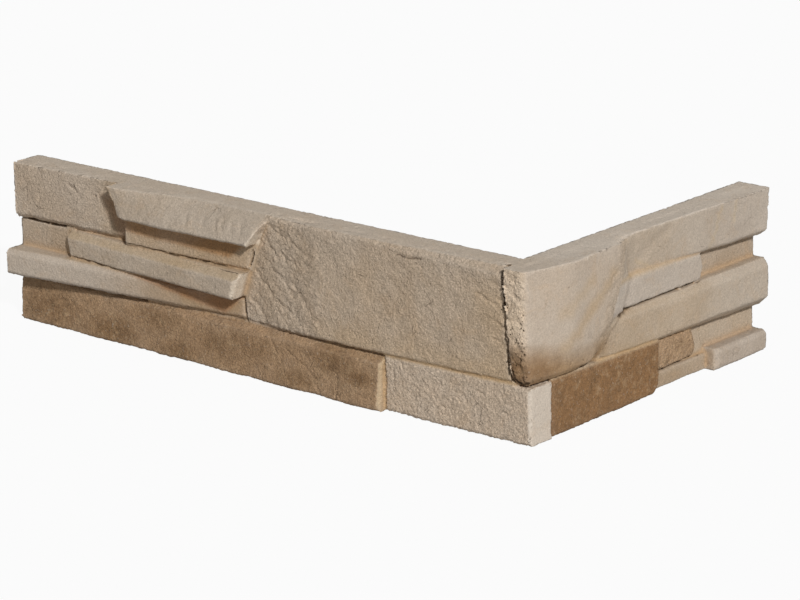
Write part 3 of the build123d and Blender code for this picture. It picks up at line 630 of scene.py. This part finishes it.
# Where a lump would leave the panel's box or stand proud of a back, it is turned in by as much,
# because the mould's sides and the trowel stop the concrete there.
NEAR_BACK = 1
least, most = np.array(cad_box[0]), np.array(cad_box[1])
pressed = most - np.abs(most - least - np.abs(pressed - least))
long_back = (np.abs(place[:, 1]) < NEAR_BACK) & (place[:, 0] < FLUSH) & (facing[:, 1] > 0.5)
short_back = (np.abs(place[:, 0]) < NEAR_BACK) & (place[:, 1] > -FLUSH) & (facing[:, 0] < -0.5)
pressed[long_back, 1] = -np.abs(pressed[long_back, 1])
pressed[short_back, 0] = np.abs(pressed[short_back, 0])
skin.vertices.foreach_set("co", pressed.ravel())
skin.update()

# What the finish has to know of each point rides on the skin as attributes. Then the skin is
# thinned to fewer triangles than a piece may have.
MARKS, TRIANGLES = ("grain", "mottle", "dark", "ochre", "holes"), 195000
oxides_and_painted_light = np.column_stack([pigment_and_painted_light, np.ones(len(place))])
colours = skin.attributes.new("pigment_and_painted_light", "FLOAT_COLOR", "POINT")
colours.data.foreach_set("color", oxides_and_painted_light.ravel().astype(np.float32))
for kind in MARKS:
    mark = skin.attributes.new(kind, "FLOAT", "POINT")
    mark.data.foreach_set("value", amount[kind].astype(np.float32))
worn = skin.attributes.new("worn", "FLOAT", "POINT")
worn.data.foreach_set("value", edge_wear.astype(np.float32))
thin_out = casting.modifiers.new("thin out", "DECIMATE")
thin_out.ratio = TRIANGLES / (len(skin.polygons) * 2)
bpy.ops.object.modifier_apply(modifier=thin_out.name)
bpy.ops.object.shade_smooth()
skin = casting.data
thinned = np.clip(rows(skin.vertices, "co", 3), least, most)
skin.vertices.foreach_set("co", thinned.ravel())
skin.update()


# The finish of the cast stone: oxide colour brushed on in the mould, with painted shadow and
# highlight in places, blotched and rubbed, over a sandy cement grain with specks, fine holes and
# hairline cracks.
class Wire:
    """A value in a finish. Sums, differences and products of it add Math nodes."""

    tree = None

    def __init__(self, socket):
        self.socket = socket

    @classmethod
    def node(cls, kind, settings=None, sockets=None, output=0):
        """A node with its settings and its sockets' values or links, as one of its outputs."""
        node = cls.tree.nodes.new(kind)
        for name, value in (settings or {}).items():
            setattr(node, name, value)
        for name, value in (sockets or {}).items():
            if isinstance(value, Wire):
                cls.tree.links.new(value.socket, node.inputs[name])
            else:
                node.inputs[name].default_value = value
        return cls(node.outputs[output])

    def math(self, operation, first, second):
        return Wire.node("ShaderNodeMath", {"operation": operation}, {0: first, 1: second})

    def __add__(self, other):
        return self.math("ADD", self, other)

    def __sub__(self, other):
        return self.math("SUBTRACT", self, other)

    def __rsub__(self, other):
        return self.math("SUBTRACT", other, self)

    def __mul__(self, other):
        return self.math("MULTIPLY", self, other)

    __radd__, __rmul__ = __add__, __mul__


def noise(size, detail=2.0, rough=0.5, kind="FBM", warp=0.0):
    """Noise whose lumps have a size in millimetres, from 0 to 1."""
    sockets = {"Vector": spot, "Scale": 1000 / size, "Detail": detail}
    sockets.update({"Roughness": rough, "Distortion": warp})
    return Wire.node("ShaderNodeTexNoise", {"noise_type": kind}, sockets)


def ease(value, low, high):
    """0 below the low value, 1 above the high one, and smooth between them."""
    sockets = {"Value": value, "From Min": low, "From Max": high}
    return Wire.node("ShaderNodeMapRange", {"interpolation_type": "SMOOTHSTEP"}, sockets)


def lay(under, share, over, way="MIX"):
    """A colour over another one."""
    over = over if isinstance(over, Wire) else (*over, 1.0)
    settings = {"data_type": "RGBA", "blend_type": way}
    return Wire.node("ShaderNodeMix", settings, {0: share, 6: under, 7: over}, 2)


def mark_of(name, output="Fac"):
    """One of the marks that the skin carries."""
    return Wire.node("ShaderNodeAttribute", {"attribute_name": name}, output=output)


finish = bpy.data.materials.new("cast_stone_finish")
finish.use_nodes = True
Wire.tree = finish.node_tree
shader = finish.node_tree.nodes["Principled BSDF"]
spot = Wire.node("ShaderNodeTexCoord", output="Object")
grain, mottle, dark, ochre, holes, worn = (mark_of(name) for name in (*MARKS, "worn"))

BLOOM, SAND, OCHRE = (0.60, 0.54, 0.47), (0.50, 0.36, 0.22), (0.47, 0.30, 0.155)
UMBER, SOOT = (0.13, 0.078, 0.042), (0.055, 0.035, 0.02)
BUBBLE, HAIR_MESH, HAIR_SWAY = 2.7, 17, 9
clouds = ease(noise(26, 3), 0.38, 0.66)
blotches = ease(noise(9, 4, 0.6, warp=0.6), 0.42, 0.62)
veils = ease(noise(15, 5, 0.65, warp=1.2), 0.5, 0.7)
specks = noise(1.1, 3, 0.7)
sand = noise(0.55, 1)
colour = mark_of("pigment_and_painted_light", "Color")
colour = lay(colour, clouds * (1 - mottle) * 0.16, BLOOM)
colour = lay(colour, veils * 0.15, OCHRE)
colour = lay(colour, mottle * blotches * (0.18 + 0.5 * veils), UMBER)
colour = lay(colour, mottle * ease(noise(5.5, 3, 0.7, warp=0.8), 0.48, 0.64) * 0.28, UMBER)
colour = lay(colour, mottle * ease(noise(2.4, 3, 0.7), 0.5, 0.72) * 0.3, UMBER)
colour = lay(colour, mottle * ease(noise(6.5, 4, 0.7, warp=0.6), 0.5, 0.68) * 0.3, SAND)
colour = lay(colour, mottle * ease(noise(1.5, 2, 0.7), 0.6, 0.74) * 0.3, BLOOM)
colour = lay(colour, ochre * 0.5, OCHRE)
colour = lay(colour, worn * (1 - 0.7 * mottle) * 0.16, BLOOM)
tone = (ease(specks, 0.2, 0.8) - 0.5) * (grain * 0.42 + 0.12) + 1
tone = tone + (ease(sand, 0.2, 0.8) - 0.5) * (grain * 0.14 + 0.06)
shade = Wire.node("ShaderNodeCombineColor", sockets={0: tone, 1: tone, 2: tone})
colour = lay(colour, 1.0, shade, "MULTIPLY")
bubbles = Wire.node("ShaderNodeTexVoronoi", sockets={"Vector": spot, "Scale": 1000 / BUBBLE})
pin_holes = ease(bubbles, 0.2, 0.1) * ease(noise(4, 2), 0.46, 0.56) * holes
sway_sockets = {"Vector": spot, "Scale": 1000 / HAIR_SWAY, "Detail": 3}
sway = Wire.node("ShaderNodeTexNoise", sockets=sway_sockets, output=1)
swayed = Wire.node("ShaderNodeMix", {"data_type": "VECTOR"}, {0: 0.004, 4: spot, 5: sway}, 1)
hair_sockets = {"Vector": swayed, "Scale": 1000 / HAIR_MESH}
hairs = Wire.node("ShaderNodeTexVoronoi", {"feature": "DISTANCE_TO_EDGE"}, hair_sockets)
hair_cracks = ease(hairs, 0.018, 0.004) * ease(noise(12, 1), 0.58, 0.68) * grain
colour = lay(colour, pin_holes * 0.75, SOOT)
colour = lay(colour, hair_cracks * 0.3, SOOT)
colour = lay(colour, ease(dark, 0.15, 0.75) * 0.88, SOOT)
Wire.tree.links.new(colour.socket, shader.inputs["Base Color"])

rubbed = 0.93 - 0.12 * worn - 0.06 * clouds
Wire.tree.links.new(rubbed.socket, shader.inputs["Roughness"])
shader.inputs["Specular IOR Level"].default_value = 0.06

# What is too fine to model is a bump, with its heights and depths in metres.
SANDY, RIDGED, FINE, HOLE_DEEP, CRACK_DEEP = 0.0010, 0.00008, 0.0002, 0.0004, 0.0003
ridges = noise(3.0, 4, 0.62, "RIDGED_MULTIFRACTAL")
height = grain * (noise(1.5, 3, 0.65) * SANDY + ridges * RIDGED) + noise(0.7, 2) * FINE
height = height - pin_holes * HOLE_DEEP - hair_cracks * CRACK_DEEP
bump = Wire.node("ShaderNodeBump", sockets={"Strength": 1.0, "Distance": 1.0, "Height": height})
Wire.tree.links.new(bump.socket, shader.inputs["Normal"])
skin.materials.clear()
skin.materials.append(finish)
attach(casting, "root")
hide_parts("stone_corner")


# The floor: a plain sheet of white board, far larger than the view, on which the piece stands. It
# looks as white as the room behind it, and keeps the piece's faint shadow.
def seen():
    """1 where a ray comes from the camera, a shine or a clear body, and 0 where it lights."""
    rays = Wire.node("ShaderNodeLightPath", output="Is Camera Ray")
    rays = rays + Wire.node("ShaderNodeLightPath", output="Is Glossy Ray")
    return rays + Wire.node("ShaderNodeLightPath", output="Is Transmission Ray")


SHEET_SIZE, UNDER_PIECE, SHEET_GREY, SHEET_GLOW = 12, 0.0002, (0.6, 0.6, 0.6, 1), 0.94
WHITE = (1, 1, 1, 1)
bpy.ops.mesh.primitive_plane_add(size=SHEET_SIZE, location=(0, 0, cad_box[0][2] - UNDER_PIECE))
floor = bpy.context.object
floor.name = "floor"
sheet = bpy.data.materials.new("white_sheet")
sheet.use_nodes = True
Wire.tree = sheet.node_tree
sheet.node_tree.nodes.remove(sheet.node_tree.nodes["Principled BSDF"])
unlit = seen()
matt = Wire.node("ShaderNodeBsdfDiffuse", sockets={"Color": SHEET_GREY})
white = Wire.node("ShaderNodeEmission", sockets={"Color": WHITE, "Strength": 1.0})
both = Wire.node("ShaderNodeMixShader", sockets={0: unlit * SHEET_GLOW, 1: matt, 2: white})
Wire.tree.links.new(both.socket, sheet.node_tree.nodes["Material Output"].inputs["Surface"])
floor.data.materials.append(sheet)


# Studio light: one wide key lamp from the right and above, far enough away that its rays are
# level with each other, and an even white room that fills the shadows.
KEY_AZIMUTH, KEY_ELEVATION = radians(56.5), radians(32)
KEY_STRENGTH, KEY_WIDTH = 2.82, radians(5)
ROOM_FILL, ROOM_SEEN = 0.225, 0.99


def towards(azimuth, elevation):
    """Direction from the piece to what stands round it and above it by these angles."""
    return Vector((sin(azimuth) * cos(elevation), -cos(azimuth) * cos(elevation), sin(elevation)))


key = bpy.data.objects.new("key", bpy.data.lights.new("key", "SUN"))
bpy.context.scene.collection.objects.link(key)
key.data.energy = KEY_STRENGTH
key.data.angle = KEY_WIDTH
key.rotation_euler = towards(KEY_AZIMUTH, KEY_ELEVATION).to_track_quat("Z", "Y").to_euler()
room = bpy.data.worlds.new("room")
bpy.context.scene.world = room
room.use_nodes = True
Wire.tree = room.node_tree
backdrop = room.node_tree.nodes["Background"]
brightness = seen() * (ROOM_SEEN - ROOM_FILL) + ROOM_FILL
Wire.tree.links.new(brightness.socket, backdrop.inputs["Strength"])
backdrop.inputs["Color"].default_value = WHITE


# The camera stands where the photograph was taken from, with the same long lens. The picture is
# held a little aslant, and the piece's corner lies right of its middle.
CAMERA_AZIMUTH, CAMERA_ELEVATION, CAMERA_ROLL = radians(40.44), radians(16.83), radians(-0.9)
CAMERA_DISTANCE = 2.00481
LENS_PIXELS, PICTURE_WIDTH, SENSOR = 3625.14, 800, 36.0
AIM_RIGHT, AIM_UP, SIGHT_END = -0.06739, 0.07416, 20
away = towards(CAMERA_AZIMUTH, CAMERA_ELEVATION)
sideways = Vector((cos(CAMERA_AZIMUTH), sin(CAMERA_AZIMUTH), 0))
upwards = away.cross(sideways)
right = sideways * cos(CAMERA_ROLL) + upwards * sin(CAMERA_ROLL)
up = upwards * cos(CAMERA_ROLL) - sideways * sin(CAMERA_ROLL)
stand = sideways * AIM_RIGHT + upwards * AIM_UP + away * CAMERA_DISTANCE
camera = bpy.data.objects.new("camera", bpy.data.cameras.new("camera"))
bpy.context.scene.collection.objects.link(camera)
camera.matrix_world = Matrix.Translation(stand) @ Matrix((right, up, away)).transposed().to_4x4()
camera.data.sensor_width = SENSOR
camera.data.lens = LENS_PIXELS * SENSOR / PICTURE_WIDTH
camera.data.clip_end = SIGHT_END
bpy.context.scene.camera = camera
bpy.context.scene.view_settings.view_transform = "Standard"
